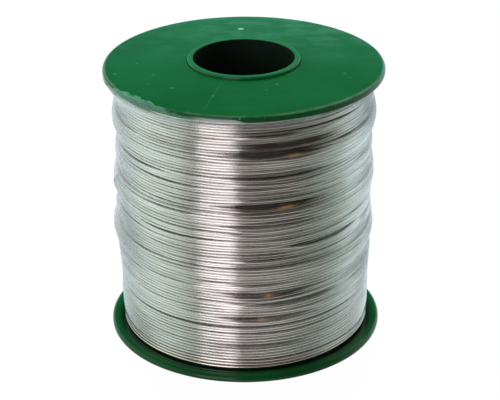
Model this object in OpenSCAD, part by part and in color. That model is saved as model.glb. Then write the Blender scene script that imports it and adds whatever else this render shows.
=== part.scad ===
// Reel of solder wire: a tube and two flanges, wound full of wire, in a sleeve of clear film.
// The origin is on the reel's axis, at the height of the surface that it stands on.

/* [Flanges] */
// Diameter of both flanges
flange_d = 67; // [66:0.5:80]
// Thickness of each flange
flange_t = 1.6; // [1.3:0.1:3]
// Height over the rims of the two flanges
reel_h = 68; // [56:1:90]
// Rounding of the flanges' rims
rim_r = 0.5; // [0.2:0.05:0.6]
// Rise of the top flange's outer face from its rim to its hole
crown = 0.55; // [0:0.05:0.8]
// Chamfer round the outside of each flange's hole
hole_chamfer = 0.5; // [0.2:0.05:0.8]
// Diameter of the dimple that the moulding gate leaves in each flange
gate_d = 1.7; // [1.2:0.1:2.5]
// Depth of the gate's dimple
gate_depth = 0.3; // [0.2:0.05:0.4]
// Distance of the gate's dimple from the axis
gate_at = 22.3; // [18:0.1:28]

/* [Tube] */
// Bore that takes the spindle
bore_d = 24; // [18:0.5:24.5]
// Wall of the tube's ends, where they pass through the flanges
end_wall = 1.45; // [1.2:0.05:1.8]
// Wall of the tube between the flanges
tube_wall = 2.7; // [2.2:0.1:4]
// Height of the tube's upper end above the top flange's hole
collar_h = 0.8; // [0.6:0.1:2]
// Rounding of the tube's ends, outside
collar_r = 0.45; // [0.2:0.05:0.6]
// Rounding of the tube's ends, round the bore
lip_r = 0.25; // [0.1:0.05:0.4]
// Clearance between the tube's end and a flange's hole
flange_fit = 0.05; // [0.02:0.01:0.12]

/* [Wire] */
// Diameter of the wire
wire_d = 0.7; // [0.5:0.05:0.9]
// Diameter over the last full layer
winding_d = 60.9; // [54:0.1:61.5]
// Space between neighbouring turns
turn_gap = 0.04; // [0.02:0.01:0.15]
// Depth of the groove between two turns, as a part of the wire's diameter
groove_depth = 0.7; // [0.55:0.05:0.8]
// Clearance between the tube and the winding, and between the winding's layers
wound_gap = 0.05; // [0.02:0.01:0.1]

/* [Raised turns] */
// Number of raised bundles of turns
bundles = 3; // [2:1:4]
// Turns in each bundle
bundle_turns = 3; // [1:1:3]
// Height of the lowest bundle above the bottom flange
raised_low = 25; // [10:1:30]
// Height of winding left above the uppermost bundle
raised_high = 11; // [6:1:16]
// Angle over which a raised turn crosses to the next groove
crossover = 60; // [45:15:120]
// Angle over which the strand climbs from one bundle to the next
climb = 150; // [120:10:200]
// Clearance between a raised turn and the turns under it
ride_gap = 0.08; // [0.07:0.01:0.12]
// Direction in which the raised strand starts
strand_from = 20; // [0:5:60]
// Angle that the free end runs on round the winding
tail_angle = 120; // [60:15:180]

/* [Film] */
// Thickness of the film
film_t = 0.12; // [0.1:0.01:0.2]
// Space between the film and what it covers
film_gap = 0.08; // [0.06:0.01:0.15]
// Bare height of the winding below the film
bare_h = 2.8; // [1:0.1:6]
// Height over which the film tapers in to its lower edge
taper_h = 4; // [2:0.5:8]
// Height over which the film goes out to the rim of the top flange
flare_h = 5; // [3:0.5:8]
// Width of film that is folded over the rim
fold_w = 0.8; // [0.4:0.1:2]
// Direction in which the stretch at the rim starts
fold_from = 205; // [180:5:230]
// Angle of the stretch at the rim
fold_angle = 85; // [45:5:150]
// Angle over which the film goes from the rim to under the flange
fold_ease = 20; // [12:1:22]
// Most that the film stands off the winding where it is loose
bulge = 0.7; // [0:0.1:1.2]
// Direction and height of the middle of the loose stretch
bulge_at = 185; // [0:5:355]
bulge_z = 33; // [25:1:36]
// Angle and height from there to its edge
bulge_angle = 55; // [30:5:90]
bulge_h = 17; // [10:1:20]

/* [Hidden] */

plastic_green = [0.09, 0.42, 0.26];
tin = [0.76, 0.74, 0.73];
film_clear = [0.85, 0.92, 0.94, 0.35];

flange_r = flange_d / 2;
bore_r = bore_d / 2;
end_r = bore_r + end_wall;
tube_r = bore_r + tube_wall;
hole_r = end_r + flange_fit;
tube_top = reel_h + crown + collar_h;
gate_r = gate_d / 2;
gate_ball_r = (gate_r * gate_r + gate_depth * gate_depth) / (2 * gate_depth);

// The space between the flanges, and the turns that fill it
traverse = reel_h - 2 * flange_t;
traverse_top = flange_t + traverse;
turns = floor(traverse / (wire_d + turn_gap));
pitch = traverse / turns;
wire_r = wire_d / 2;
crest_r = winding_d / 2;
turn_r = crest_r - wire_r;
groove_r = crest_r - groove_depth * wire_d;
layer_r = crest_r - wire_d;

// The raised strand runs in bundles, with one turn on the way from each bundle to the next
ride = wire_d + ride_gap;
step_turns = 1;
climb_turns = climb / 360;
bundle_span = bundle_turns + step_turns;
bundle_rise = (traverse - raised_low - raised_high) / (bundles - 1);
strand_turns = bundles * bundle_turns + (bundles - 1) * step_turns;
climb_ease = 6;
rings_per_turn = 48;
wire_sides = 6;

// The film's surfaces, and the lengths of its way round the rim and over it
film_low = flange_t + bare_h;
film_low_r = crest_r + film_gap;
film_r = turn_r + ride + wire_r + film_gap;
film_neck = traverse_top - flare_h;
rim_z = traverse_top - film_gap;
edge_h = 1.2;
fold_r = flange_r + film_gap;
fold_centre = [flange_r - rim_r, reel_h - rim_r];
bend_r = rim_r + film_gap;
rise_length = fold_centre[1] - rim_z;
bend_length = bend_r * PI / 2;
fold_length = rise_length + bend_length + fold_w;

// The film's mesh, in rows up the reel and columns round it
taper_rows = 6;
body_rows = 7;
flare_rows = 5;
edge_rows = 9;
film_columns = 60;

// Steps of a rounded edge, and of the bare side of one turn in the last full layer
round_steps = 6;

// Points of an arc round (x, y) from angle a to angle b
function arc(x, y, r, a, b) =
    [for (i = [0:round_steps])
        let (t = a + (b - a) * i / round_steps)
        [x + r * cos(t), y + r * sin(t)]];

// Eased rise from 0 to 1 while x goes from 0 to 1
function ease(x) = let (t = min(max(x, 0), 1)) t * t * (3 - 2 * t);

// Height of groove i of the last full layer, where i may lie between two grooves
function groove_z(i) = flange_t + (i + 1) * pitch;

// Groove in which bundle b starts
function bundle_groove(b) = floor((raised_low + b * bundle_rise) / pitch);

// Share of the way to the next groove after v turns, crossed at the end of each turn
function crossed(v) = ease((v - floor(v) - 1) * 360 / crossover + 1);

// Groove of the strand after u turns, the last v of them in bundle b or on the way from it
function strand_groove(u) =
    let (b = floor(u / bundle_span), v = u - b * bundle_span, start = bundle_groove(b))
    v < bundle_turns
        ? start + floor(v) + crossed(v)
        : let (rise = bundle_groove(b + 1) - step_turns - start - bundle_turns)
          start + bundle_turns + rise * ease((v - bundle_turns) / climb_turns) + crossed(v);

// How far the strand is lifted from the grooves to the crests as it climbs to the next bundle
function strand_lift(u) =
    let (v = u - floor(u / bundle_span) * bundle_span - bundle_turns)
    v < 0 ? 0 : ease(climb_ease * min(v, climb_turns - v) / climb_turns);

// Radius at which a wire rides on the turns of the last full layer, at groove g
function ride_r(g, lift) =
    let (side = (abs(g - round(g)) - 0.5) * pitch * (1 - lift))
    turn_r + sqrt(ride * ride - side * side);

module barrel() {
    color(plastic_green)
    rotate_extrude($fn = 128)
    polygon(concat(
        arc(bore_r + lip_r, lip_r, lip_r, 180, 270),
        arc(end_r - collar_r, collar_r, collar_r, 270, 360),
        [[end_r, flange_t], [tube_r, flange_t]],
        [[tube_r, traverse_top], [end_r, traverse_top]],
        arc(end_r - collar_r, tube_top - collar_r, collar_r, 0, 90),
        arc(bore_r + lip_r, tube_top - lip_r, lip_r, 90, 180)));
}

// One flange with its outer face down, its rim on z = 0 and its gate behind the axis
module flange(rise) {
    face_in = hole_r + hole_chamfer;
    face_out = flange_r - rim_r;
    gate_z = -rise * (face_out - gate_at) / (face_out - face_in);
    difference() {
        rotate_extrude($fn = 192)
        polygon(concat(
            [[face_in, -rise]],
            arc(face_out, rim_r, rim_r, 270, 360),
            arc(face_out, flange_t - rim_r, rim_r, 0, 90),
            [[hole_r, flange_t], [hole_r, hole_chamfer - rise]]));
        translate([0, gate_at, gate_z + gate_depth - gate_ball_r])
        sphere(r = gate_ball_r, $fn = 48);
    }
}

module top_flange() {
    color(plastic_green)
    translate([0, 0, reel_h])
    mirror([0, 0, 1])
    flange(crown);
}

module bottom_flange() {
    color(plastic_green)
    flange(0);
}

// The buried layers, which touch both flanges
module inner_winding() {
    color(tin)
    rotate_extrude($fn = 160)
    translate([tube_r + wound_gap, flange_t])
    square([layer_r - tube_r - 2 * wound_gap, traverse]);
}

// The last full layer: every turn is a ridge on the ring that the turns stand on
module outer_winding() {
    bare = acos((groove_r - turn_r) / wire_r);
    color(tin)
    rotate_extrude($fn = 160)
    polygon(concat(
        [[layer_r, traverse_top], [layer_r, flange_t], [groove_r, flange_t]],
        [for (i = [0:turns - 1])
            each arc(turn_r, flange_t + (i + 0.5) * pitch, wire_r, -bare, bare)],
        [[groove_r, traverse_top]]));
}

// The partial layer on top, as one strand that climbs from bundle to bundle
module raised_turns() {
    rings = strand_turns * rings_per_turn;
    points = [
        for (k = [0:rings])
            let (u = k / rings_per_turn, t = strand_from + 360 * u)
            let (g = strand_groove(u), r = ride_r(g, strand_lift(u)))
            for (s = [0:wire_sides - 1])
                let (a = 360 * s / wire_sides, x = r + wire_r * cos(a))
                [x * cos(t), x * sin(t), groove_z(g) + wire_r * sin(a)]];
    sides = [
        for (k = [0:rings - 1], s = [0:wire_sides - 1])
            let (a = k * wire_sides + s, b = k * wire_sides + (s + 1) % wire_sides)
            [a, b, b + wire_sides, a + wire_sides]];
    first_cap = [for (s = [wire_sides - 1:-1:0]) s];
    last_cap = [for (s = [0:wire_sides - 1]) rings * wire_sides + s];
    color(tin)
    polyhedron(points, concat(sides, [first_cap, last_cap]));
}

// The free end, in the groove where the raised strand leaves off
module wire_tail() {
    g = bundle_groove(bundles - 1) + bundle_turns;
    color(tin)
    rotate([0, 0, strand_from + 360 * strand_turns])
    rotate_extrude(angle = tail_angle, $fn = 160)
    translate([ride_r(g, 0), groove_z(g)])
    circle(r = wire_r, $fn = 32);
}

// Eased hump of height 1 at x = 0, which ends at -1 and 1
function hump(x) = abs(x) < 1 ? (1 + cos(180 * x)) / 2 : 0;

// Angle from direction b to direction a, from -180 to 180
function turn_from(a, b) = let (d = (a - b) % 360) d > 180 ? d - 360 : d < -180 ? d + 360 : d;

// How far direction t lies inside the stretch at the rim, negative outside it
function fold_depth(t) = fold_angle / 2 - abs(turn_from(t, fold_from + fold_angle / 2));

// Share of the way out to the rim, and of the way over it, that the film goes in direction t
function flare_share(t) = ease(1 + fold_depth(t) / fold_ease);
function fold_share(t) = ease(fold_depth(t) / fold_ease);

// Radius of the film below the rim, in direction t at height z
function film_wall(t, z) =
    film_low_r + (film_r - film_low_r) * ease((z - film_low) / taper_h)
    + bulge * hump(turn_from(t, bulge_at) / bulge_angle) * hump((z - bulge_z) / bulge_h)
    + (fold_r - film_r) * flare_share(t) * ease((z - film_neck) / (rim_z - film_neck));

// Radius and height of the film in direction t, s along it from just under the rim
function film_edge(t, s, offset) =
    s <= 0 ? [film_wall(t, rim_z + s) + offset, rim_z + s]
    : s < rise_length ? [fold_r + offset, rim_z + s]
    : s < rise_length + bend_length
        ? let (a = (s - rise_length) / bend_r * 180 / PI)
          [fold_centre[0] + (bend_r + offset) * cos(a), fold_centre[1] + (bend_r + offset) * sin(a)]
    : [fold_centre[0] - (s - rise_length - bend_length), reel_h + film_gap + offset];

// Radius and height of every row of the film in direction t
function film_line(t, offset) = concat(
    [for (i = [0:taper_rows - 1])
        let (z = film_low + taper_h * i / taper_rows)
        [film_wall(t, z) + offset, z]],
    [for (i = [0:body_rows - 1])
        let (z = film_low + taper_h + (film_neck - film_low - taper_h) * i / body_rows)
        [film_wall(t, z) + offset, z]],
    [for (i = [0:flare_rows - 1])
        let (z = film_neck + (rim_z - edge_h - film_neck) * i / flare_rows)
        [film_wall(t, z) + offset, z]],
    [for (i = [0:edge_rows])
        film_edge(t, (edge_h + fold_length * fold_share(t)) * i / edge_rows - edge_h, offset)]);

// The film: an inner and an outer skin of one mesh, joined along its two edges
module film_sleeve() {
    rows = taper_rows + body_rows + flare_rows + edge_rows + 1;
    skin = rows * film_columns;
    points = [
        for (offset = [0, film_t], c = [0:film_columns - 1])
            let (t = 360 * c / film_columns)
            for (p = film_line(t, offset))
                [p[0] * cos(t), p[0] * sin(t), p[1]]];
    walls = [
        for (c = [0:film_columns - 1], k = [0:rows - 2])
            let (a = c * rows + k, b = (c + 1) % film_columns * rows + k)
            each [[a, b, b + 1, a + 1], [skin + a, skin + a + 1, skin + b + 1, skin + b]]];
    edges = [
        for (c = [0:film_columns - 1], k = [0, rows - 1])
            let (a = c * rows + k, b = (c + 1) % film_columns * rows + k)
            k == 0 ? [a, skin + a, skin + b, b] : [a, b, skin + b, skin + a]];
    color(film_clear)
    polyhedron(points, concat(walls, edges), convexity = 6);
}

barrel();
top_flange();
bottom_flange();
inner_winding();
outer_winding();
raised_turns();
wire_tail();
film_sleeve();
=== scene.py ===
import math

import bpy
import numpy as np
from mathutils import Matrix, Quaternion, Vector, noise


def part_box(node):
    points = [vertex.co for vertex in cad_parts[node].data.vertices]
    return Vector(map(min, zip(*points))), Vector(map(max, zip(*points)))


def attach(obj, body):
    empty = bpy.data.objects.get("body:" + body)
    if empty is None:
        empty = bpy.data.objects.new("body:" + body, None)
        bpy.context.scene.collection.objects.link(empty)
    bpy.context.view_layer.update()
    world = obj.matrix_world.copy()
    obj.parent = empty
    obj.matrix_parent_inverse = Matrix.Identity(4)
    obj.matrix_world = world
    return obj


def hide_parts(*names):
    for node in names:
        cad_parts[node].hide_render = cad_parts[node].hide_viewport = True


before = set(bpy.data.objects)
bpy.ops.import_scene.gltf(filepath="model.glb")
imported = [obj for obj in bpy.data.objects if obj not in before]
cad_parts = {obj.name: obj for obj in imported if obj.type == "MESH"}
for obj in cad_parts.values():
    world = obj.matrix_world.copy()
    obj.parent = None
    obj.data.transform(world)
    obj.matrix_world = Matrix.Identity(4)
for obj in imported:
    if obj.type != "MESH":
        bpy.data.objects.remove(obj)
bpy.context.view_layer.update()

# ---------------------------------------------------------------- sizes, in metres

MM = 0.001
FLANGE_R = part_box("bottom_flange")[1].x
FLANGE_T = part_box("bottom_flange")[1].z
TRAVERSE_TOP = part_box("top_flange")[0].z
RIM_TOP = TRAVERSE_TOP + FLANGE_T
CREST_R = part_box("outer_winding")[1].x
FILM_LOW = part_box("film_sleeve")[0].z
BORE_R = 12 * MM
HOLE_R = 13.5 * MM

WIRE_D = 0.7 * MM
WIRE_R = WIRE_D / 2
TURN_R = CREST_R - WIRE_R
LAYER_STEP = WIRE_D * math.sqrt(3) / 2
TURNS = 87
PITCH = (TRAVERSE_TOP - FLANGE_T) / TURNS

# The last turns above the bottom flange lie further apart than the rest
LOOSE_TOP = 13 * MM
LOOSE_PITCH = 0.83 * MM

# ---------------------------------------------------------------- the photograph's view

PHOTO_W = 500
FOCAL_PX = 1689.5
SENSOR_MM = 36
DISTANCE = 0.4144
ELEVATION = math.radians(25.2)
ROLL = -0.0067
CENTRE_PX = (-5.35, 8.06)


def polar(radius, angle, height):
    """Point at a radius and height, in the direction angle from +X towards +Y."""
    return (radius * math.cos(angle), radius * math.sin(angle), height)


def facing(phi):
    """Direction, from +X, of a place phi degrees to the right of the front of the reel."""
    return math.radians(phi - 90)


def phi_of(angle):
    """Degrees from the front of the reel to a direction, -180 to 180, right side positive."""
    return (math.degrees(angle) + 90 + 180) % 360 - 180


def off_from(phi, middle):
    """Degrees from one direction round to another, -180 to 180."""
    return (phi - middle + 180) % 360 - 180


def ease(x):
    """Smooth step from 0 at 0 to 1 at 1."""
    t = min(max(x, 0.0), 1.0)
    return t * t * (3 - 2 * t)


def hump(x):
    """Smooth bump, 1 at 0 and 0 from -1 down and from 1 up."""
    return (1 + math.cos(math.pi * x)) / 2 if abs(x) < 1 else 0.0


def swirl(angle, height, around, up, seed):
    """Smooth noise on the reel's side, with a number of features around it and a height for each."""
    ring = around / (2 * math.pi)
    place = Vector((ring * math.cos(angle), ring * math.sin(angle), height / up))
    return noise.noise(place + Vector((seed * 17.3, seed * 5.1, seed * 9.7)))


# ---------------------------------------------------------------- nodes


def plug(tree, value, socket):
    """Links an output to a socket, or sets the socket's own value."""
    if isinstance(value, bpy.types.NodeSocket):
        tree.links.new(value, socket)
    else:
        socket.default_value = value


def calc(tree, operation, *values):
    """A maths operation on values or sockets."""
    made = tree.nodes.new("ShaderNodeMath")
    made.operation = operation
    for value, socket in zip(values, made.inputs):
        plug(tree, value, socket)
    return made.outputs[0]


def blend_colour(tree, share, first, second):
    """From the first colour to the second as the share goes from 0 to 1."""
    made = tree.nodes.new("ShaderNodeMix")
    made.data_type = "RGBA"
    plug(tree, share, made.inputs[0])
    plug(tree, first, made.inputs[6])
    plug(tree, second, made.inputs[7])
    return made.outputs[2]


def ramp(tree, value, stops):
    """Colour ramp with stops of (position, colour)."""
    made = tree.nodes.new("ShaderNodeValToRGB")
    elements = made.color_ramp.elements
    while len(elements) < len(stops):
        elements.new(0.5)
    for element, (position, colour) in zip(elements, stops):
        element.position = position
        element.color = colour if len(colour) == 4 else (*colour, 1)
    plug(tree, value, made.inputs[0])
    return made.outputs[0]


def level(tree, value, low, high, start=0.0, end=1.0):
    """Value moved from low..high to start..end, and held there."""
    made = tree.nodes.new("ShaderNodeMapRange")
    made.interpolation_type = "SMOOTHSTEP"
    for amount, socket in zip((value, low, high, start, end), made.inputs):
        plug(tree, amount, socket)
    return made.outputs[0]


def stretched(tree, scale):
    """Object coordinates scaled by (x, y, z)."""
    place = tree.nodes.new("ShaderNodeTexCoord")
    mapping = tree.nodes.new("ShaderNodeMapping")
    mapping.inputs["Scale"].default_value = scale
    tree.links.new(place.outputs["Object"], mapping.inputs["Vector"])
    return mapping.outputs[0]


def spot(tree, place, centre, radius):
    """1 in a soft spot of this radius round a point, 0 outside it."""
    gap = tree.nodes.new("ShaderNodeVectorMath")
    gap.operation = "DISTANCE"
    tree.links.new(place, gap.inputs[0])
    gap.inputs[1].default_value = centre
    return level(tree, gap.outputs["Value"], 0.5 * radius, 1.3 * radius, 1, 0)


def cloud(tree, vector, detail=2.0, rough=0.5):
    """Smooth noise, about 0.5 on average."""
    made = tree.nodes.new("ShaderNodeTexNoise")
    made.inputs["Scale"].default_value = 1.0
    made.inputs["Detail"].default_value = detail
    made.inputs["Roughness"].default_value = rough
    tree.links.new(vector, made.inputs["Vector"])
    return made.outputs[0]


def shade(tree, name):
    """A value that the mesh holds at each of its points."""
    made = tree.nodes.new("ShaderNodeAttribute")
    made.attribute_name = name
    return made.outputs["Fac"]


def new_material(name):
    made = bpy.data.materials.new(name)
    made.use_nodes = True
    tree = made.node_tree
    return made, tree, tree.nodes["Principled BSDF"]


def bump(tree, height, distance, strength=1.0):
    made = tree.nodes.new("ShaderNodeBump")
    made.inputs["Strength"].default_value = strength
    made.inputs["Distance"].default_value = distance
    tree.links.new(height, made.inputs["Height"])
    return made.outputs[0]


# ---------------------------------------------------------------- materials

GREEN = (0.003, 0.118, 0.028, 1)
GREEN_DEEP = (0.002, 0.100, 0.021, 1)
# Painted light: the collar's green, paler than the rest as if lit from the front
GREEN_COLLAR_LIT = (0.011, 0.158, 0.050, 1)
# Painted shade: the dark green of the bore and of the lower flange at the foot of the winding
GREEN_SHADED = (0.0005, 0.011, 0.0035, 1)
# Dust on the top face, which also paints the brighter sheen towards the back
DUST_AND_SHEEN = (0.050, 0.205, 0.115, 1)
# Pale marks on the top face, and painted highlights on the gate mark and along the rim
FLECK_AND_HIGHLIGHT = (0.42, 0.72, 0.58, 1)

# Flecks on the top face: x and y as shares of the flange's radius, radius (mm), strength. The first stands
# for the gate mark, painted pale as its highlight
FLECKS = (
    (-0.019, 0.666, 0.75, 0.65), (-0.006, -0.367, 0.26, 0.90), (0.225, -0.464, 0.26, 0.20),
    (-0.896, -0.218, 0.50, 0.09), (-0.753, -0.026, 0.45, 0.06), (-0.629, -0.261, 0.45, 0.07),
    (-0.656, -0.430, 0.45, 0.06), (-0.489, -0.506, 0.55, 0.10), (-0.208, -0.656, 0.32, 0.18),
    (0.150, -0.560, 0.34, 0.06), (0.700, -0.250, 0.50, 0.08), (0.735, -0.330, 0.45, 0.06),
)
SCRATCH = ((-0.150, -0.420), (-0.275, -0.925))
SCRATCH_W = 0.16 * MM
SCRATCH_PALE = 0.022
# Where chips along the rim start and are thickest, and how pale they are; they also stand for sparkles there,
# painted glints
CHIP_GLINTS_FROM, CHIP_GLINTS_TO = 0.945 * FLANGE_R, 0.98 * FLANGE_R
CHIP_GLINTS_PALE = 0.28
# The ring of the rim's rounding that is painted pale as a highlight, and how pale
RIM_HIGHLIGHT_FROM, RIM_HIGHLIGHT_TO = FLANGE_R - 0.80 * MM, FLANGE_R - 0.22 * MM
RIM_HIGHLIGHT_PALE = 0.15
# Painted shade in the bore and on the lower flange at the foot of the winding, by distance from the axis
BORE_SHADE_FROM, BORE_SHADE_TO = BORE_R + 0.02 * MM, BORE_R + 0.22 * MM
FOOT_SHADE_FROM, FOOT_SHADE_TO = CREST_R + 0.1 * MM, FLANGE_R - 1.0 * MM
FOOT_SHADE_MOST = 0.92
# How much rougher the bore's wall is than the outer faces
MATT_BORE = 0.55


def flat_place(tree):
    """Object coordinates without the height."""
    return stretched(tree, (1, 1, 0))


def scratch_mask(tree, place):
    """1 along the scratch across the top face."""
    first, last = (Vector((x * FLANGE_R, y * FLANGE_R, 0)) for x, y in SCRATCH)
    along = (last - first).normalized()
    across = Vector((-along.y, along.x, 0))
    shares = []
    for way in (along, across):
        dot = tree.nodes.new("ShaderNodeVectorMath")
        dot.operation = "DOT_PRODUCT"
        tree.links.new(place, dot.inputs[0])
        dot.inputs[1].default_value = way
        shares.append(calc(tree, "SUBTRACT", dot.outputs["Value"], first.dot(way)))
    length = (last - first).length
    side = level(tree, calc(tree, "ABSOLUTE", shares[1]), 0.4 * SCRATCH_W, 1.6 * SCRATCH_W, 1, 0)
    inside = calc(tree, "MULTIPLY", level(tree, shares[0], 0, 0.2 * length),
                  level(tree, shares[0], 0.9 * length, length, 1, 0))
    return calc(tree, "MULTIPLY", side, inside)


def from_axis(tree):
    """Distance from the reel's axis."""
    middle = tree.nodes.new("ShaderNodeVectorMath")
    middle.operation = "LENGTH"
    tree.links.new(flat_place(tree), middle.inputs[0])
    return middle.outputs["Value"]


def rim_chips_and_highlight(tree):
    """Share of pale marks along the rim: chips that also stand for painted sparkles, and a ring painted pale
    in patches as a highlight.
    """
    out = from_axis(tree)
    chips_and_glints = cloud(tree, stretched(tree, (620, 620, 620)), 1, 0.5)
    chips_and_glints = calc(tree, "MULTIPLY", level(tree, out, CHIP_GLINTS_FROM, CHIP_GLINTS_TO),
                 level(tree, chips_and_glints, 0.68, 0.76, 0, CHIP_GLINTS_PALE))
    ring = calc(tree, "MULTIPLY", level(tree, out, RIM_HIGHLIGHT_FROM, RIM_HIGHLIGHT_FROM + 0.25 * MM),
                level(tree, out, RIM_HIGHLIGHT_TO - 0.2 * MM, RIM_HIGHLIGHT_TO, RIM_HIGHLIGHT_PALE, 0))
    patches = cloud(tree, stretched(tree, (210, 210, 210)), 2, 0.6)
    painted_highlight = calc(tree, "MULTIPLY", ring, level(tree, patches, 0.36, 0.60, 0.30, 1))
    return calc(tree, "MAXIMUM", chips_and_glints, painted_highlight)


def top_marks_and_highlights(tree):
    """Share of pale marks on the top face: flecks, the scratch and chips along the rim, with painted
    highlights on the gate mark and along the rim.
    """
    place = flat_place(tree)
    marks = calc(tree, "MULTIPLY", scratch_mask(tree, place), SCRATCH_PALE)
    for x, y, radius, strength in FLECKS:
        one = spot(tree, place, (x * FLANGE_R, y * FLANGE_R, 0), radius * MM)
        marks = calc(tree, "MAXIMUM", marks, calc(tree, "MULTIPLY", one, strength))
    return calc(tree, "MAXIMUM", marks, rim_chips_and_highlight(tree))


def back_dust_and_sheen(tree):
    """Share of dust, and of painted sheen, which lie towards the back of the top face."""
    parts = tree.nodes.new("ShaderNodeSeparateXYZ")
    tree.links.new(flat_place(tree), parts.inputs[0])
    # More towards the back: painted sheen as well as dust
    back = level(tree, parts.outputs["Y"], -0.35 * FLANGE_R, 0.85 * FLANGE_R)
    side = level(tree, parts.outputs["X"], -0.7 * FLANGE_R, 0.2 * FLANGE_R, 0.45, 1)
    smears = cloud(tree, stretched(tree, (130, 210, 130)), 4, 0.62)
    smeared = level(tree, smears, 0.38, 0.66, 0.10, 0.60)
    return calc(tree, "MULTIPLY", calc(tree, "MULTIPLY", back, side), smeared)


def bore_shade(tree, most=1):
    """Share of painted shade, and of added roughness, in the bore: the most on the bore's wall, and 0 outside
    it.
    """
    return level(tree, from_axis(tree), BORE_SHADE_FROM, BORE_SHADE_TO, most, 0)


def foot_shade(tree):
    """Share of painted shade on the lower flange, darkest at the foot of the winding."""
    return level(tree, from_axis(tree), FOOT_SHADE_FROM, FOOT_SHADE_TO, FOOT_SHADE_MOST, 0)


def green_plastic(name, marked=False, bored=False, footed=False, gloss=0.40):
    """Glossy moulded plastic: marked on top with flecks, dust, painted highlights and painted sheen; matt in
    the bore, with painted shade there and a collar painted paler as if lit; or with painted shade at the
    winding's foot.
    """
    made, tree, shader = new_material(name)
    broad = cloud(tree, stretched(tree, (60, 60, 60)), 3, 0.6)
    tone = blend_colour(tree, level(tree, broad, 0.35, 0.65), GREEN_DEEP, GREEN)
    if bored:
        # Painted light and shade: the collar paler as if lit, the bore dark as if in shade
        tone = blend_colour(tree, bore_shade(tree), GREEN_COLLAR_LIT, GREEN_SHADED)
    if footed:
        # Painted shade at the foot of the winding
        tone = blend_colour(tree, foot_shade(tree), tone, GREEN_SHADED)
    if marked:
        # Dust, which also paints the sheen towards the back
        tone = blend_colour(tree, back_dust_and_sheen(tree), tone, DUST_AND_SHEEN)
        # Flecks, the scratch and chips, with painted highlights on the gate mark and along the rim
        tone = blend_colour(tree, top_marks_and_highlights(tree), tone, FLECK_AND_HIGHLIGHT)
    tree.links.new(tone, shader.inputs["Base Color"])
    fine = cloud(tree, stretched(tree, (400, 400, 400)), 4, 0.6)
    rough = level(tree, fine, 0.3, 0.7, 0.10, 0.17)
    if bored:
        rough = calc(tree, "ADD", rough, bore_shade(tree, MATT_BORE))
    tree.links.new(rough, shader.inputs["Roughness"])
    tree.links.new(bump(tree, broad, 0.3 * MM, 0.15), shader.inputs["Normal"])
    shader.inputs["Specular IOR Level"].default_value = gloss
    return made


TIN_DEEP = (0.70, 0.67, 0.645, 1)
TIN = (0.85, 0.835, 0.82, 1)
TIN_DULL = (0.56, 0.47, 0.39, 1)
# Dark brown of the wire round some gaps
GAP_BROWN = (0.080, 0.034, 0.024, 1)
# Painted orange glints in the dark brown
WARM_GLINT = (0.46, 0.22, 0.11, 1)
# Amber beads, bright to stand for orange glints: painted highlights
AMBER_GLINT = (0.98, 0.50, 0.17, 1)
BURIED_DEEP = (0.06, 0.038, 0.032, 1)
BURIED = (0.30, 0.17, 0.10, 1)
FILM_TINT = (0.97, 0.985, 0.99, 1)
FILM_MIRROR = (0.93, 0.97, 1, 1)
FILM_MILKY = (0.80, 0.88, 0.90, 1)
FILM_ON_RIM = (0.22, 0.78, 0.52, 1)
# Share that the film mirrors face on, and how much more it mirrors edge on
FILM_GLOSS, FILM_EDGE_GLOSS = 0.035, 0.96


def solder_metal():
    """Drawn tin wire: bright, with streaks along it, dark brown round some gaps, painted shade at the
    winding's foot, and painted glints.
    """
    made, tree, shader = new_material("solder_metal")
    streaks = cloud(tree, stretched(tree, (70, 70, 1500)), 2, 0.6)
    patches = cloud(tree, stretched(tree, (50, 50, 300)), 3, 0.6)
    tone = blend_colour(tree, level(tree, streaks, 0.3, 0.7), TIN_DEEP, TIN)
    tone = blend_colour(tree, level(tree, patches, 0.50, 0.78, 0, 0.30), tone, TIN_DULL)
    # Painted orange glints in the dark brown
    glints = cloud(tree, stretched(tree, (260, 260, 1400)), 2, 0.6)
    brown = blend_colour(tree, level(tree, glints, 0.60, 0.70), GAP_BROWN, WARM_GLINT)
    tone = blend_colour(tree, shade(tree, "stain"), tone, brown)
    # Amber beads, bright to stand for orange glints: painted highlights
    bead = shade(tree, "bead")
    tree.links.new(blend_colour(tree, bead, tone, AMBER_GLINT), shader.inputs["Base Color"])
    tree.links.new(level(tree, streaks, 0.3, 0.7, 0.22, 0.12), shader.inputs["Roughness"])
    tree.links.new(calc(tree, "SUBTRACT", 1.0, bead), shader.inputs["Metallic"])
    return made


def dull_metal():
    """The buried turns: the same wire, dark and brown."""
    made, tree, shader = new_material("darkened_metal")
    patches = cloud(tree, stretched(tree, (60, 60, 400)), 3, 0.6)
    tone = blend_colour(tree, level(tree, patches, 0.45, 0.70), BURIED_DEEP, BURIED)
    tree.links.new(tone, shader.inputs["Base Color"])
    shader.inputs["Roughness"].default_value = 0.18
    shader.inputs["Metallic"].default_value = 1.0
    return made


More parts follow.
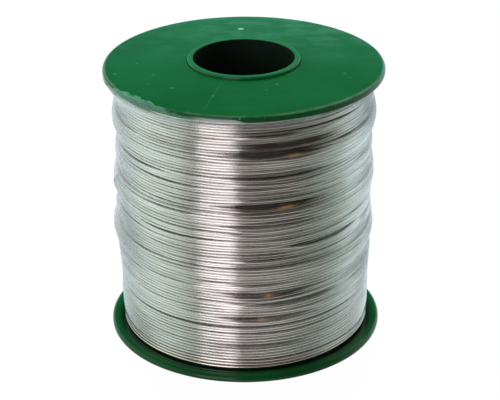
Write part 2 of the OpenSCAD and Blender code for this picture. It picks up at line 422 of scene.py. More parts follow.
def clear_film():
    """Thin clear film: mirrors more towards its edges, and is milky where it stands off the wire."""
    made, tree, shader = new_material("clear_film")
    out = tree.nodes["Material Output"]
    tree.nodes.remove(shader)
    through = tree.nodes.new("ShaderNodeBsdfTransparent")
    through.inputs["Color"].default_value = FILM_TINT
    mirror = tree.nodes.new("ShaderNodeBsdfGlossy")
    mirror.inputs["Roughness"].default_value = 0.12
    wrinkles = cloud(tree, stretched(tree, (60, 60, 420)), 3, 0.55)
    tree.links.new(bump(tree, wrinkles, 0.35 * MM, 0.6), mirror.inputs["Normal"])
    mirror.inputs["Color"].default_value = FILM_MIRROR
    slope = tree.nodes.new("ShaderNodeLayerWeight")
    slope.inputs["Blend"].default_value = 0.5
    grazing = calc(tree, "POWER", slope.outputs["Facing"], 5.0)
    gloss = tree.nodes.new("ShaderNodeMixShader")
    tree.links.new(calc(tree, "MULTIPLY_ADD", grazing, FILM_EDGE_GLOSS, FILM_GLOSS), gloss.inputs[0])
    tree.links.new(through.outputs[0], gloss.inputs[1])
    tree.links.new(mirror.outputs[0], gloss.inputs[2])
    veil = tree.nodes.new("ShaderNodeBsdfDiffuse")
    milky = blend_colour(tree, shade(tree, "on_rim"), FILM_MILKY, FILM_ON_RIM)
    tree.links.new(milky, veil.inputs["Color"])
    haze = tree.nodes.new("ShaderNodeMixShader")
    tree.links.new(shade(tree, "veil"), haze.inputs[0])
    tree.links.new(gloss.outputs[0], haze.inputs[1])
    tree.links.new(veil.outputs[0], haze.inputs[2])
    tree.links.new(haze.outputs[0], out.inputs["Surface"])
    return made


# ---------------------------------------------------------------- pieces


def add_piece(name, points, faces, material, slot, nodes, **shades):
    """A smooth mesh that rides on the reel and stands for CAD nodes, with values for its material."""
    mesh = bpy.data.meshes.new(name)
    mesh.from_pydata(points, [], faces)
    mesh.shade_smooth()
    for key, values in shades.items():
        attribute = mesh.attributes.new(key, "FLOAT", "POINT")
        attribute.data.foreach_set("value", values)
    mesh.materials.append(material)
    made = bpy.data.objects.new(name, mesh)
    bpy.context.scene.collection.objects.link(made)
    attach(made, "root")
    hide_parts(*nodes)
    return made


def wire_tube(radii, heights, angles, sides):
    """Mesh of a wire whose centre has these radii, heights and directions."""
    radii, heights, angles = (np.asarray(x)[:, None] for x in (radii, heights, angles))
    turn = np.linspace(0, 2 * math.pi, sides, endpoint=False)[None, :]
    out = radii + WIRE_R * np.cos(turn)
    points = np.stack(
        (out * np.cos(angles), out * np.sin(angles), heights + WIRE_R * np.sin(turn)), axis=2)
    rings = len(radii)
    near = np.arange(rings - 1)[:, None] * sides
    here = np.arange(sides)[None, :]
    ahead = (here + 1) % sides
    walls = np.stack((near + here, near + ahead, near + sides + ahead, near + sides + here), axis=2)
    last = (rings - 1) * sides
    caps = [list(range(sides - 1, -1, -1)), list(range(last, last + sides))]
    return points.reshape(-1, 3).tolist(), walls.reshape(-1, 4)[:, ::-1].tolist() + [c[::-1] for c in caps]


SAMPLES = 144
LAYER_SIDES = 8
BURIED_SAMPLES = 72
BURIED_SIDES = 6

# Gaps between turns: height (mm), direction of the middle, half its angle, width (mm), how dark and brown the
# wire is round it
GAPS = (
    (62.6, 30, 50, 0.30, 0.0), (59.2, 20, 30, 0.55, 1.0), (57.4, 12, 32, 0.90, 1.0),
    (56.2, -30, 45, 0.30, 0.0), (51.9, 14, 28, 0.75, 0.9), (48.4, -45, 35, 0.30, 0.0),
    (44.3, 12, 30, 0.90, 1.0), (42.6, -45, 35, 0.30, 0.0), (39.6, 12, 28, 0.70, 0.8),
    (36.0, -35, 40, 0.22, 0.0), (30.5, 60, 40, 0.22, 0.0), (21.9, 9, 26, 0.65, 0.9),
    (19.1, 25, 26, 0.50, 0.8), (15.3, 9, 28, 0.50, 0.8), (13.0, 0, 180, 0.45, 0.0),
    (11.7, 20, 80, 0.25, 0.0), (8.0, 6, 28, 0.25, 0.7), (4.4, 30, 60, 0.20, 0.0),
)
GAP_REACH = 2.4 * MM
# How far the turns wander, broadly and finely, and how far the raised strand does
WANDER, TREMBLE = 0.24 * MM, 0.07 * MM
STRAND_WANDER = 0.12 * MM
DARKENING_REACH = 1.15 * MM
# Painted shade at the foot of the winding, away from the front, and the height (mm) where it ends
FOOT_PAINTED_SHADE = 0.42
FOOT_PAINTED_SHADE_TOP = 14
# Turns that stray over their neighbours: height (mm), direction, half the angle, rise (mm)
STRAYS = ((56.0, 62, 30, 0.6), (33.0, 38, 26, -0.6))
# Amber beads of flux, bright to stand for orange glints, a painted highlight: height (mm), direction, half
# the angle
GLINT_BEADS = ((43.7, 18, 8), (56.6, 20.7, 6), (51.4, 18, 7), (39.1, 12, 8), (21.5, 10, 4), (15.0, 7, 4))
GLINT_BEAD_REACH = 0.65 * MM
GLINT_BEAD_MOST = 0.75


def level_heights():
    """Heights of the last full layer's turns before they wander, at SAMPLES places round each."""
    span = TRAVERSE_TOP - FLANGE_T - 2 * WIRE_R
    steps = TURNS * SAMPLES
    heights = [0.0]
    for _ in range(steps):
        z = FLANGE_T + heights[-1]
        share = ease((z - LOOSE_TOP) / (4 * MM))
        heights.append(heights[-1] + (LOOSE_PITCH + (PITCH - LOOSE_PITCH) * share) / SAMPLES)
    heights = np.array(heights)
    return FLANGE_T + WIRE_R + heights * span / heights[-1]


def wander(angle, z, turn_z):
    """How far a turn strays from its level place."""
    steady = (0.35 + 0.65 * ease((z - LOOSE_TOP) / (8 * MM))) * (1 - 0.6 * ease((z / MM - 58) / 4))
    shift = WANDER * steady * swirl(angle, z, 7, 3.2 * MM, 1)
    shift += TREMBLE * swirl(angle, z, 16, 1.1 * MM, 2)
    phi = phi_of(angle)
    for height, middle, half, width, _ in GAPS:
        away = (z - height * MM) / GAP_REACH
        if abs(away) < 4:
            here = hump(off_from(phi, middle) / half)
            side = math.copysign(1, turn_z - height * MM)
            shift += side * 0.5 * width * MM * here * math.exp(-abs(away))
    return shift


def stain_share(angle, z):
    """How darkened the wire is, in a direction at a height: dark brown round some gaps, and painted shade at
    the foot of the winding.
    """
    phi = phi_of(angle)
    share = FOOT_PAINTED_SHADE * ease((FOOT_PAINTED_SHADE_TOP - z / MM) / 8) * ease((abs(phi) - 38) / 22)
    for height, middle, half, _, stain in GAPS:
        around = hump((phi - middle) / half)
        up = hump((z - height * MM - 0.25 * MM * swirl(angle, z, 9, 3 * MM, 11)) / DARKENING_REACH)
        share = max(share, stain * min(1.0, 1.6 * around) * min(1.0, 1.5 * up))
    return share


def bead_share(angle, z):
    """How much amber, beads that stand for orange glints, there is on the wire, in a direction at a height.
    """
    phi = phi_of(angle)
    return GLINT_BEAD_MOST * max(
        hump((phi - middle) / half) * min(1.0, 1.8 * hump((z - height * MM) / GLINT_BEAD_REACH))
        for height, middle, half in GLINT_BEADS)


def ride_over(height, below, floor_r):
    """Lowest radius from floor_r up at which a turn clears the turns laid before it."""
    radius = np.array(floor_r, float)
    for _ in range(3):
        for other_r, other_z in below:
            apart = np.abs(height - other_z)
            lift = np.sqrt(np.maximum(WIRE_D ** 2 - apart ** 2, 0))
            hit = np.abs(radius - other_r) < lift - 1e-9
            radius = np.where(hit, other_r + lift, radius)
    return radius


def eased_round(values, width):
    """Values along the wire, averaged over width samples."""
    kernel = np.hanning(width + 2)
    padded = np.pad(values, width // 2 + 1, mode="edge")
    return np.convolve(padded, kernel / kernel.sum(), mode="same")[width // 2 + 1:-(width // 2 + 1)]


def wind_layer():
    """Radii, heights and directions of the last full layer, as one wire."""
    level_z = level_heights()
    count = len(level_z)
    angles = np.arange(count) * 2 * math.pi / SAMPLES + facing(180)
    heights = np.empty(count)
    for n in range(count):
        turn_z = level_z[(n // SAMPLES) * SAMPLES + SAMPLES // 2] if n < count - SAMPLES else level_z[n]
        heights[n] = level_z[n] + wander(angles[n], level_z[n], turn_z)
    for height, middle, half, rise in STRAYS:
        turn = int(np.argmin(np.abs(level_z - height * MM)) // SAMPLES)
        for n in range(turn * SAMPLES, (turn + 1) * SAMPLES):
            heights[n] += rise * MM * hump(off_from(phi_of(angles[n]), middle) / half)
    heights = np.clip(heights, FLANGE_T + WIRE_R, TRAVERSE_TOP - WIRE_R)
    radii = np.empty(count)
    for turn in range(TURNS + 1):
        start, end = turn * SAMPLES, min((turn + 1) * SAMPLES, count)
        below = []
        for back in (1, 2, 3):
            first = start - back * SAMPLES
            if first >= 0:
                below.append((radii[first:first + end - start], heights[first:first + end - start]))
        radii[start:end] = ride_over(heights[start:end], below, np.full(end - start, TURN_R))
    return eased_round(radii, 9), heights, angles


def under_layer(dull):
    """The layer below, which shows only in the gaps."""
    count = TURNS * BURIED_SAMPLES + 1
    angles = np.arange(count) * 2 * math.pi / BURIED_SAMPLES
    heights = np.linspace(FLANGE_T + WIRE_R, TRAVERSE_TOP - WIRE_R, count)
    radii = np.full(count, TURN_R - LAYER_STEP)
    points, faces = wire_tube(radii, heights, angles, BURIED_SIDES)
    add_piece("buried_turns", points, faces, dull, "solder_wire", [])


def wire_piece(name, node, wire, part, sides, metal):
    """A stretch of wire that stands for a node, with its darkening and its amber beads that stand for glints.
    """
    radii, heights, angles = (values[part] for values in wire)
    points, faces = wire_tube(radii, heights, angles, sides)
    places = list(zip(angles, heights))
    stains = [stain_share(angle, z) for angle, z in places]
    beads = [bead_share(angle, z) for angle, z in places]
    add_piece(name, points, faces, metal, "solder_wire", [node],
              stain=np.repeat(stains, sides), bead=np.repeat(beads, sides))


def last_layer(metal, layer):
    """The last full layer, as a lower and an upper half."""
    half = (TURNS // 2) * SAMPLES
    wire_piece("lower_turns", "outer_winding", layer, slice(0, half + 1), LAYER_SIDES, metal)
    wire_piece("upper_turns", "outer_winding", layer, slice(half, None), LAYER_SIDES, metal)


# The raised strand: where its bundles start (turns up from the bottom flange), and its direction
BUNDLES = (33, 52, 72)
BUNDLE_TURNS = 3
STRAND_TURNS = len(BUNDLES) * BUNDLE_TURNS + len(BUNDLES) - 1
STRAND_FROM = math.radians(20)
CROSSOVER = 60 / 360
CLIMB = 150 / 360
TAIL_TURN = 120 / 360
STRAND_SIDES = 12


def strand_place(u):
    """Turns up from the bottom flange at which the raised strand lies after u turns."""
    span = BUNDLE_TURNS + 1
    bundle = min(int(u // span), len(BUNDLES) - 1)
    v = u - bundle * span
    crossed = ease((v - math.floor(v) - 1) / CROSSOVER + 1)
    if v < BUNDLE_TURNS:
        return BUNDLES[bundle] + math.floor(v) + crossed
    if bundle == len(BUNDLES) - 1:
        return BUNDLES[bundle] + BUNDLE_TURNS
    rise = BUNDLES[bundle + 1] - 1 - BUNDLES[bundle] - BUNDLE_TURNS
    return BUNDLES[bundle] + BUNDLE_TURNS + rise * ease((v - BUNDLE_TURNS) / CLIMB) + crossed


def wind_strand(layer):
    """Radii, heights and directions of the raised strand and its free end."""
    radii, heights, angles = layer
    count = int((STRAND_TURNS + TAIL_TURN) * SAMPLES) + 1
    u = np.arange(count) / SAMPLES
    way = STRAND_FROM + u * 2 * math.pi
    z = np.empty(count)
    r = np.empty(count)
    for n in range(count):
        z[n] = FLANGE_T + (strand_place(u[n]) + 1) * PITCH
        z[n] += STRAND_WANDER * swirl(way[n], z[n], 9, 2 * MM, 4)
    z = eased_round(z, 9)
    offset = round((STRAND_FROM - angles[0]) / (2 * math.pi) * SAMPLES)
    for n in range(count):
        same_way = np.arange((offset + n) % SAMPLES, len(radii), SAMPLES)
        apart = np.abs(z[n] - heights[same_way])
        lift = np.sqrt(np.maximum(WIRE_D ** 2 - apart ** 2, 0))
        r[n] = np.max(np.where(lift > 0, radii[same_way] + lift, TURN_R))
    return eased_round(r, 9), z, way


def raised_strand(metal, strand):
    """The raised strand, and the free end that it runs out in."""
    split = STRAND_TURNS * SAMPLES
    wire_piece("raised_strand", "raised_turns", strand, slice(0, split + 1), STRAND_SIDES, metal)
    wire_piece("free_end", "wire_tail", strand, slice(split, None), STRAND_SIDES, metal)


FILM_COLUMNS = 288
FILM_ROWS = 150
FILM_T = 0.08 * MM
RIM_GAP = 0.08 * MM
# How fast the stretched film falls away from a crest: a share of the distance squared, per metre
SAG = 80.0
CREST_GAP = 0.04 * MM

# Where the film stands off the winding: direction, half the angle, height and half height, distance (mm)
STAND_OFFS = (
    (-86, 52, 29.5, 12.5, 0.72), (-82, 34, 56, 4.5, 0.40), (-80, 34, 48, 4.2, 0.40),
    (-88, 38, 39.5, 4.5, 0.36), (150, 40, 40, 16, 0.5), (-150, 35, 22, 12, 0.4),
)


# The fold on the left: direction, width and bow (degrees), height and half height (mm), rise (mm)
CREASE_PHI, CREASE_WIDTH, CREASE_BOW = -77, 1.8, 7
CREASE_Z, CREASE_HALF, CREASE_RISE = 40.5, 4.6, 0.40
# The wrinkles beside it: direction of the middle, half the angle, rise (mm)
WRINKLES_PHI, WRINKLES_HALF, WRINKLES_RISE = -85, 48, 0.16


def crease(angle, z):
    """Rise (mm) of the fold in the film on the left, and of fine wrinkles beside it."""
    phi = phi_of(angle)
    up = z / MM - CREASE_Z
    bow = CREASE_PHI + CREASE_BOW * (up / 4) ** 2
    fold = math.exp(-((phi - bow) / CREASE_WIDTH) ** 2) * hump(up / CREASE_HALF)
    ridge = max(0.0, 1 - 7 * abs(swirl(angle, z, 11, 10 * MM, 8)))
    return CREASE_RISE * fold + WRINKLES_RISE * ridge * hump((phi - WRINKLES_PHI) / WRINKLES_HALF)


def crest_line(wires, angle, heights):
    """Radius of a film stretched over the wires' crests in one direction, at these heights."""
    line = np.full(len(heights), CREST_R)
    for radii, places, angles in wires:
        first = round((angle - angles[0]) / (2 * math.pi) * SAMPLES) % SAMPLES
        here = slice(first, None, SAMPLES)
        apart = heights[:, None] - places[here][None, :]
        held = radii[here][None, :] + WIRE_R - SAG * apart ** 2
        line = np.maximum(line, held.max(axis=1))
    return line


def stretched_film(wires):
    """Radius of the tight film over the wires: one line of heights for each direction."""
    heights = np.linspace(FILM_LOW, TRAVERSE_TOP, FILM_ROWS)
    ways = [2 * math.pi * n / FILM_COLUMNS for n in range(FILM_COLUMNS)]
    lines = np.array([crest_line(wires, way, heights) for way in ways])
    wide = np.maximum.reduce([np.roll(lines, step, axis=0) for step in (-2, -1, 0, 1, 2)])
    return heights, sum(np.roll(wide, step, axis=0) for step in (-2, -1, 0, 1, 2)) / 5


def film_radius(angle, z, tight):
    """Inner radius of the film and how far it stands off the winding (mm), in a direction at a height."""
    phi = phi_of(angle)
    heights, lines = tight
    column = lines[round(angle / (2 * math.pi) * FILM_COLUMNS) % FILM_COLUMNS]
    radius = np.interp(z, heights, column) + CREST_GAP
    stand = 0.02 + 0.10 * swirl(angle, z, 9, 7 * MM, 6) + 0.05 * swirl(angle, z, 24, 4 * MM, 7)
    stand *= 1 - 0.7 * hump((phi - 85) / 60)
    for middle, half, height, reach, far in STAND_OFFS:
        stand += far * hump(off_from(phi, middle) / half) * hump((z / MM - height) / reach)
    stand = max(stand, 0.0) + crease(angle, z)
    return radius + stand * MM, stand


# How milky the film is: all over, for each mm that it stands off, under the rim, and at most
VEIL, VEIL_LOOSE, VEIL_RIM, VEIL_MOST = 0.01, 0.12, 0.06, 0.42
# Milky round the sides and the back
VEIL_SIDES = 0.15
# Milky places under the rim: direction, half the angle, share, how far down (mm), fade (mm)
VEILS_HIGH = ((62, 62, 0.42, 2.8, 2.2), (-48, 30, 0.30, 2.2, 1.6), (82, 40, 0.24, 13, 9))
# Milky places lower down: direction, half the angle, share, height and half height (mm)
VEILS_LOW = ((-82, 44, 0.17, 25, 13), (78, 46, 0.16, 20, 17))


def veil_share(phi, z, stand):
    """How milky the film is: most under the upper rim, and where it stands off the wire."""
    below = (TRAVERSE_TOP - z) / MM
    share = VEIL + VEIL_LOOSE * min(stand, 1.2) + VEIL_RIM * ease((2.8 - below) / 2.2)
    share += VEIL_SIDES * ease((abs(phi) - 50) / 28) * ease((z / MM - 5) / 14)
    for middle, half, most, reach, fade in VEILS_HIGH:
        share += most * hump((phi - middle) / half) * ease((reach - below) / fade)
    for middle, half, most, height, reach in VEILS_LOW:
        share += most * hump((phi - middle) / half) * hump((z / MM - height) / reach)
    streaks = swirl(facing(phi), z, 30, 1.3 * MM, 12) + 0.6 * swirl(facing(phi), z, 12, 5 * MM, 13)
    return min(share * (1 + 0.8 * streaks), VEIL_MOST)


# The film's upper edge, which may go on over the rim, and how wide it lies on the top face
EDGE_H = 1.2 * MM
EDGE_ROWS = 20
FOLD_W = 0.3 * MM
# Rounding of the flanges' rims, on the upper side and on the lower side
RIM_R = 1.0 * MM
RIM_LOW_R = 0.3 * MM
BEND_R = RIM_R + RIM_GAP
# The stretch that goes out to the rim: direction of its middle, half the angle, and its height
FLARE_PHI, FLARE_HALF, FLARE_H = -24, 75, 3 * MM
# The fold over the rim: direction of its middle, half the angle, and share of the way over
FOLD_PHI, FOLD_HALF, FOLD_MOST = -47, 34, 0.95
# The low strip that runs on from it to the front: share of the way over, from and to (degrees)
STRIP, STRIP_FROM, STRIP_TO = 0.26, -36, 3
# How milky the fold is: everywhere, more in streaks, and where it glares, from and to (degrees)
FOLD_VEIL, FOLD_STREAKS, GLARE_VEIL = 0.06, 0.13, 0.58
GLARE_FROM, GLARE_TO = -22, 4


def fold_share(phi):
    """Share of the way over the rim that the film is folded, in direction phi."""
    strip = STRIP * ease((phi - STRIP_FROM) / 8) * ease((STRIP_TO - phi) / 7)
    ragged = 0.10 * math.sin(phi * 0.9) + 0.06 * math.sin(phi * 2.3 + 1)
    return max(min(1.0, FOLD_MOST * hump((phi - FOLD_PHI) / FOLD_HALF) * (0.86 + ragged)), strip)


def over_rim(along):
    """Radius and height of the film's inner side, along it from just under the rim."""
    rise = RIM_TOP - RIM_R - TRAVERSE_TOP + RIM_GAP
    bend = BEND_R * math.pi / 2
    if along < rise:
        return FLANGE_R + RIM_GAP, TRAVERSE_TOP - RIM_GAP + along
    if along < rise + bend:
        angle = (along - rise) / BEND_R
        return FLANGE_R - RIM_R + BEND_R * math.cos(angle), RIM_TOP - RIM_R + BEND_R * math.sin(angle)
    return FLANGE_R - RIM_R - (along - rise - bend), RIM_TOP + RIM_GAP


def film_line(angle, tight):
    """The film's inner surface in one direction, from its lower edge up: radius, height, veil, on_rim."""
    phi = phi_of(angle)
    top = TRAVERSE_TOP - RIM_GAP
    neck = TRAVERSE_TOP - FLARE_H
    out = ease(2.2 * hump((phi - FLARE_PHI) / FLARE_HALF))
    fold = (RIM_TOP - TRAVERSE_TOP + BEND_R + FOLD_W) * fold_share(phi)
    glare = ease((phi - GLARE_FROM) / 8) * ease((GLARE_TO - phi) / 8)
    rows = []
    for n in range(FILM_ROWS + EDGE_ROWS):
        if n < FILM_ROWS:
            along = FILM_LOW + (top - EDGE_H - FILM_LOW) * n / FILM_ROWS - top
        else:
            along = (EDGE_H + fold) * (n - FILM_ROWS) / (EDGE_ROWS - 1) - EDGE_H
        if along > 0:
            radius, z = over_rim(along)
            thin = FOLD_VEIL + FOLD_STREAKS * abs(math.sin(phi * 0.37 + 1.6 * along / MM))
            rows.append((radius, z, thin + (GLARE_VEIL - thin) * glare, 1 - glare))
            continue
        z = top + along
        radius, stand = film_radius(angle, z, tight)
        share = ease((z - neck) / (top - neck))
        radius += (FLANGE_R + RIM_GAP - radius) * out * share
        rows.append((radius, z, veil_share(phi, z, stand), 0.0))
    return rows


def film_sleeve(film, wires):
    """The film: an outer and an inner skin joined along both edges."""
    tight = stretched_film(wires)
    lines = [film_line(2 * math.pi * n / FILM_COLUMNS, tight) for n in range(FILM_COLUMNS)]
    points, veil, on_rim = [], [], []
    for skin in (FILM_T, 0.0):
        for n, line in enumerate(lines):
            angle = 2 * math.pi * n / FILM_COLUMNS
            for k, (radius, z, milky, rim) in enumerate(line):
                before, after = line[max(k - 1, 0)], line[min(k + 1, len(line) - 1)]
                up = Vector((after[0] - before[0], after[1] - before[1])).normalized()
                points.append(polar(radius + skin * up[1], angle, z - skin * up[0]))
                veil.append(milky)
                on_rim.append(rim)
    rows = FILM_ROWS + EDGE_ROWS
    skin = FILM_COLUMNS * rows
    faces = []
    for n in range(FILM_COLUMNS):
        after = (n + 1) % FILM_COLUMNS
        for k in range(rows - 1):
            a, b = n * rows + k, after * rows + k
            faces.append((a, b, b + 1, a + 1))
            faces.append((skin + a, skin + a + 1, skin + b + 1, skin + b))
        low, low_after = n * rows, after * rows
        high, high_after = low + rows - 1, low_after + rows - 1
        faces.append((low, skin + low, skin + low_after, low_after))
        faces.append((high, high_after, skin + high_after, skin + high))
    add_piece("film_sleeve_clear", points, faces, film, "clear_film", ["film_sleeve"],
              veil=veil, on_rim=on_rim)


# Rise of the top flange's face from its rim to its hole
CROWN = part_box("top_flange")[1].z - RIM_TOP
HOLE_CHAMFER = 0.1 * MM
ROUND_STEPS = 10
FLANGE_COLUMNS = 360
# The rim isn't quite true: waves round it and how far they rise and fall
WARP = ((2, 0.10 * MM, 0.6), (3, 0.05 * MM, 2.0))


def bend(radius, height, r, start, end):
    """Points of a rounded edge of radius r round (radius, height), from one angle to another."""
    turns = (math.radians(start + (end - start) * n / ROUND_STEPS) for n in range(ROUND_STEPS + 1))
    return [(radius + r * math.cos(turn), height + r * math.sin(turn)) for turn in turns]


def flange_line(low, crown):
    """Half section of a flange from its hole round the rim and back: radius and height."""
    high = low + FLANGE_T
    line = [(HOLE_R, low)]
    line += [(HOLE_R + (FLANGE_R - RIM_LOW_R - HOLE_R) * n / 12, low) for n in range(1, 12)]
    line += bend(FLANGE_R - RIM_LOW_R, low + RIM_LOW_R, RIM_LOW_R, -90, 0)
    line += bend(FLANGE_R - RIM_R, high - RIM_R, RIM_R, 0, 90)
    inner = HOLE_R + HOLE_CHAMFER
    for n in range(1, 24):
        share = n / 24
        line.append((FLANGE_R - RIM_R + (inner - FLANGE_R + RIM_R) * share, high + crown * share))
    line += bend(inner, high + crown - HOLE_CHAMFER, HOLE_CHAMFER, 90, 180)
    return line


def flange(name, low, crown, material, node):
    """A moulded flange with a rounded rim, a little out of true."""
    line = flange_line(low, crown)
    points = []
    for n in range(FLANGE_COLUMNS):
        angle = 2 * math.pi * n / FLANGE_COLUMNS
        for radius, height in line:
            share = ease((radius - 0.9 * FLANGE_R) / (0.1 * FLANGE_R))
            share *= ease((height - low) / (0.5 * FLANGE_T))
            sag = sum(size * (math.cos(waves * angle + lag) - 1) / 2 for waves, size, lag in WARP)
            points.append(polar(radius, angle, height + sag * share))
    rows = len(line)
    faces = []
    for n in range(FLANGE_COLUMNS):
        here, after = n * rows, (n + 1) % FLANGE_COLUMNS * rows
        for k in range(rows):
            up = (k + 1) % rows
            faces.append((here + k, after + k, after + up, here + up))
    add_piece(name, points, faces, material, "reel_plastic", [node])


def dress_nodes(bored, metal):
    """Better materials on the CAD nodes that stay."""
    for name, material in (("barrel", bored), ("inner_winding", metal)):
        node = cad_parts[name]
        for slot in node.material_slots:
            slot.material = material


# ---------------------------------------------------------------- studio

# What the reel mirrors, by degrees to the right of its front: a bright window on the left and a dark
# side on the right. First the far floor, then the floor near the reel, the walls and the ceiling
TABLE = (
    (-160, (0.84, 0.92, 0.94)), (-120, (0.88, 0.97, 0.92)), (-84, (1.00, 1.08, 0.97)),
    (-60, (0.82, 0.86, 0.77)), (-49, (0.44, 0.41, 0.38)), (-45, (0.40, 0.38, 0.35)),
    (-40, (1.36, 1.18, 1.19)), (-15, (1.40, 1.22, 1.23)), (-7, (0.22, 0.17, 0.165)),
    (8, (0.14, 0.11, 0.10)), (46, (0.12, 0.11, 0.085)), (60, (0.20, 0.20, 0.16)), (76, (0.28, 0.30, 0.25)),
    (92, (0.46, 0.51, 0.46)), (106, (0.74, 0.83, 0.80)), (130, (0.90, 1.01, 0.99)), (160, (0.70, 0.76, 0.77)))
NEAR_TABLE = (
    (-160, (0.80, 0.92, 0.90)), (-120, (0.72, 0.84, 0.77)), (-84, (0.74, 0.84, 0.73)),
    (-60, (0.74, 0.79, 0.70)), (-49, (0.54, 0.52, 0.47)), (-45, (0.50, 0.47, 0.43)),
    (-40, (1.66, 1.43, 1.44)), (-18, (1.60, 1.39, 1.40)), (-9, (0.84, 0.76, 0.72)),
    (20, (0.92, 0.83, 0.77)), (46, (0.86, 0.83, 0.75)), (60, (0.80, 0.80, 0.72)), (76, (0.58, 0.60, 0.54)),
    (90, (0.54, 0.59, 0.54)), (110, (0.84, 0.93, 0.89)), (130, (0.96, 1.06, 1.04)), (160, (1.0, 1.08, 1.1)))
WALLS = (
    (-168, (0.10, 0.40, 0.32)), (-140, (0.74, 0.85, 0.82)), (-84, (0.96, 1.04, 0.93)),
    (-60, (0.78, 0.82, 0.73)), (-49, (0.38, 0.36, 0.32)), (-45, (0.34, 0.32, 0.29)),
    (-40, (1.28, 1.11, 1.12)), (-15, (1.32, 1.15, 1.16)), (-7, (0.18, 0.14, 0.135)),
    (8, (0.12, 0.095, 0.08)), (46, (0.09, 0.08, 0.06)), (60, (0.15, 0.15, 0.12)), (76, (0.24, 0.26, 0.215)),
    (92, (0.43, 0.48, 0.43)), (106, (0.70, 0.79, 0.75)), (135, (1.05, 1.20, 1.17)), (168, (0.10, 0.40, 0.32)))
NEAR_FROM, NEAR_TO = 60 * MM, 138 * MM
# The reel's shade on the floor round it, as it is mirrored
SHADE_FROM, SHADE_TO, SHADE = 42 * MM, 69 * MM, 0.93
CEILING = (
    (-160, (0.05, 0.06, 0.06)), (-90, (0.10, 0.11, 0.095)), (-60, (0.11, 0.115, 0.10)),
    (-46, (0.06, 0.06, 0.05)), (-40, (0.38, 0.33, 0.33)), (-15, (0.38, 0.33, 0.33)),
    (-6, (0.045, 0.04, 0.04)), (60, (0.04, 0.04, 0.035)), (100, (0.07, 0.08, 0.075)),
    (160, (0.05, 0.06, 0.06)))
# Sine of the elevation at which the walls turn into the ceiling, and how much lower that is at the back
CEILING_FROM, CEILING_TO = 0.50, 0.88
BACK_LOWER = 0.36
# Plain light that falls on what isn't glossy: from the left, from the right, and the share from the front
AMBIENT_LEFT, AMBIENT_RIGHT = 0.75, 0.26
AMBIENT_FRONT = 0.6
# The floor's mirrored bands run from the front of the reel
FRONT_Y = -30 * MM
# The floor's own colour and half its width, how bright the camera sees it, and the share of that
PAPER = (0.45, 0.45, 0.44, 1)
FLOOR_HALF = 3.0
PAPER_SEEN = (1.06, 1.06, 1.06, 1)
SEEN_SHARE = 0.92


def surroundings(tree, across, along, stops):
    """Colour of the surroundings in the direction (across, along) from the reel."""
    around = calc(tree, "ARCTAN2", across, calc(tree, "MULTIPLY", along, -1.0))
    turn = calc(tree, "MULTIPLY_ADD", around, 0.5 / math.pi, 0.5)
    return ramp(tree, turn, [(degrees / 360 + 0.5, colour) for degrees, colour in stops])


def build_floor():
    """A pale floor that is white to the camera, with the reel's shadow on it."""
    mesh = bpy.data.meshes.new("floor")
    corners = [(x * FLOOR_HALF, y * FLOOR_HALF, 0) for x, y in ((-1, -1), (1, -1), (1, 1), (-1, 1))]
    mesh.from_pydata(corners, [], [(0, 1, 2, 3)])
    floor = bpy.data.objects.new("floor", mesh)
    bpy.context.scene.collection.objects.link(floor)
    made, tree, shader = new_material("pale_floor")
    out = tree.nodes["Material Output"]
    tree.nodes.remove(shader)
    path = tree.nodes.new("ShaderNodeLightPath")
    paper = tree.nodes.new("ShaderNodeBsdfDiffuse")
    paper.inputs["Color"].default_value = PAPER
    place = tree.nodes.new("ShaderNodeTexCoord")
    parts = tree.nodes.new("ShaderNodeSeparateXYZ")
    tree.links.new(place.outputs["Object"], parts.inputs[0])
    away = calc(tree, "SUBTRACT", parts.outputs["Y"], FRONT_Y)
    far_floor = surroundings(tree, parts.outputs["X"], away, TABLE)
    near_floor = surroundings(tree, parts.outputs["X"], away, NEAR_TABLE)
    reach = tree.nodes.new("ShaderNodeVectorMath")
    reach.operation = "LENGTH"
    tree.links.new(place.outputs["Object"], reach.inputs[0])
    reach = reach.outputs["Value"]
    mirrored = blend_colour(tree, level(tree, reach, NEAR_FROM, NEAR_TO), near_floor, far_floor)
    shaded = level(tree, reach, SHADE_FROM, SHADE_TO, 1 - SHADE, 0)
    mirrored = blend_colour(tree, shaded, mirrored, (0, 0, 0, 1))
    bright = tree.nodes.new("ShaderNodeEmission")
    seen = path.outputs["Is Camera Ray"]
    plug(tree, blend_colour(tree, seen, mirrored, PAPER_SEEN), bright.inputs["Color"])
    share = calc(tree, "MAXIMUM", calc(tree, "MULTIPLY", seen, SEEN_SHARE), path.outputs["Is Glossy Ray"])
    share = calc(tree, "MAXIMUM", share, path.outputs["Is Transmission Ray"])
    mix = tree.nodes.new("ShaderNodeMixShader")
    tree.links.new(share, mix.inputs[0])
    tree.links.new(paper.outputs[0], mix.inputs[1])
    tree.links.new(bright.outputs[0], mix.inputs[2])
    tree.links.new(mix.outputs[0], out.inputs["Surface"])
    mesh.materials.append(made)


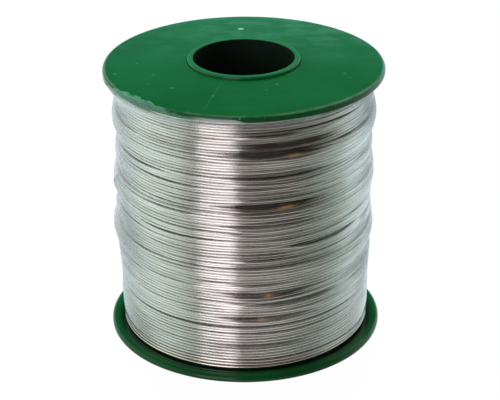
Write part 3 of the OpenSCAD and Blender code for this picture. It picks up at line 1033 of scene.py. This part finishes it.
def build_world():
    """White behind the object as the camera sees it, a room for gloss, and plain light for the rest."""
    world = bpy.data.worlds.new("studio")
    bpy.context.scene.world = world
    world.use_nodes = True
    tree = world.node_tree
    back = tree.nodes["Background"]
    place = tree.nodes.new("ShaderNodeTexCoord")
    parts = tree.nodes.new("ShaderNodeSeparateXYZ")
    tree.links.new(place.outputs["Generated"], parts.inputs[0])
    walls = surroundings(tree, parts.outputs["X"], parts.outputs["Y"], WALLS)
    lower = level(tree, parts.outputs["Y"], 0.3, 0.8, 0, BACK_LOWER)
    height = calc(tree, "ADD", parts.outputs["Z"], lower)
    ceiling = surroundings(tree, parts.outputs["X"], parts.outputs["Y"], CEILING)
    room = blend_colour(tree, level(tree, height, CEILING_FROM, CEILING_TO), walls, ceiling)
    plain = level(tree, parts.outputs["X"], -0.9, 0.4, AMBIENT_LEFT, AMBIENT_RIGHT)
    plain = calc(tree, "MULTIPLY", plain, level(tree, parts.outputs["Y"], -0.9, 0.1, AMBIENT_FRONT, 1))
    path = tree.nodes.new("ShaderNodeLightPath")
    shiny = calc(tree, "MAXIMUM", path.outputs["Is Glossy Ray"], path.outputs["Is Transmission Ray"])
    seen = blend_colour(tree, shiny, plain, room)
    seen = blend_colour(tree, path.outputs["Is Camera Ray"], seen, (1, 1, 1, 1))
    tree.links.new(seen, back.inputs["Color"])
    back.inputs["Strength"].default_value = 1.0


def add_light(name, azimuth, elevation, distance, width, height, power, colour):
    """A soft rectangular light, azimuth degrees to the right of the camera, aimed at the reel."""
    data = bpy.data.lights.new(name, "AREA")
    data.shape = "RECTANGLE"
    data.size, data.size_y = width, height
    data.energy = power
    data.color = colour
    lamp = bpy.data.objects.new(name, data)
    bpy.context.scene.collection.objects.link(lamp)
    target = Vector((0, 0, RIM_TOP / 2))
    level_out = distance * math.cos(math.radians(elevation))
    away = Vector(polar(level_out, facing(azimuth), distance * math.sin(math.radians(elevation))))
    lamp.location = target + away
    lamp.rotation_mode = "QUATERNION"
    lamp.rotation_quaternion = (-away).to_track_quat("-Z", "Y")
    return lamp


def build_lights():
    """A window at the left front, a lamp overhead at the back, and a faint one at the back right."""
    add_light("window", -24, 16, 0.9, 0.50, 0.40, 0.8, (1.0, 0.93, 0.92))
    overhead = add_light("overhead", 180, 62, 0.45, 0.40, 0.30, 2.0, (1.0, 1.0, 1.0))
    overhead.visible_glossy = False
    add_light("back_right", 154, 44, 0.8, 0.45, 0.30, 0.30, (1.0, 1.0, 0.97))


def build_camera():
    """The photograph's view."""
    data = bpy.data.cameras.new("camera")
    data.sensor_width = SENSOR_MM
    data.lens = FOCAL_PX / PHOTO_W * SENSOR_MM
    data.shift_x = -CENTRE_PX[0] / PHOTO_W
    data.shift_y = -CENTRE_PX[1] / PHOTO_W
    data.clip_start, data.clip_end = 0.01, 20
    camera = bpy.data.objects.new("camera", data)
    bpy.context.scene.collection.objects.link(camera)
    target = Vector((0, 0, RIM_TOP / 2))
    back = Vector((0, -math.cos(ELEVATION), math.sin(ELEVATION)))
    camera.location = target + back * DISTANCE
    camera.rotation_mode = "QUATERNION"
    level_view = (-back).to_track_quat("-Z", "Y")
    camera.rotation_quaternion = level_view @ Quaternion((0, 0, 1), ROLL)
    bpy.context.scene.camera = camera


build_camera()
build_world()
build_floor()
build_lights()

footed = green_plastic("green_plastic_footed", footed=True, gloss=0.26)
bored = green_plastic("green_plastic_bored", bored=True, gloss=0.30)
marked = green_plastic("green_plastic_marked", marked=True)
metal = solder_metal()
film = clear_film()

dress_nodes(bored, metal)
flange("upper_flange", TRAVERSE_TOP, CROWN, marked, "top_flange")
flange("lower_flange", 0.0, 0.0, footed, "bottom_flange")
layer = wind_layer()
strand = wind_strand(layer)
under_layer(dull_metal())
last_layer(metal, layer)
raised_strand(metal, strand)
film_sleeve(film, (layer, strand))

bpy.context.scene.view_settings.view_transform = "Standard"
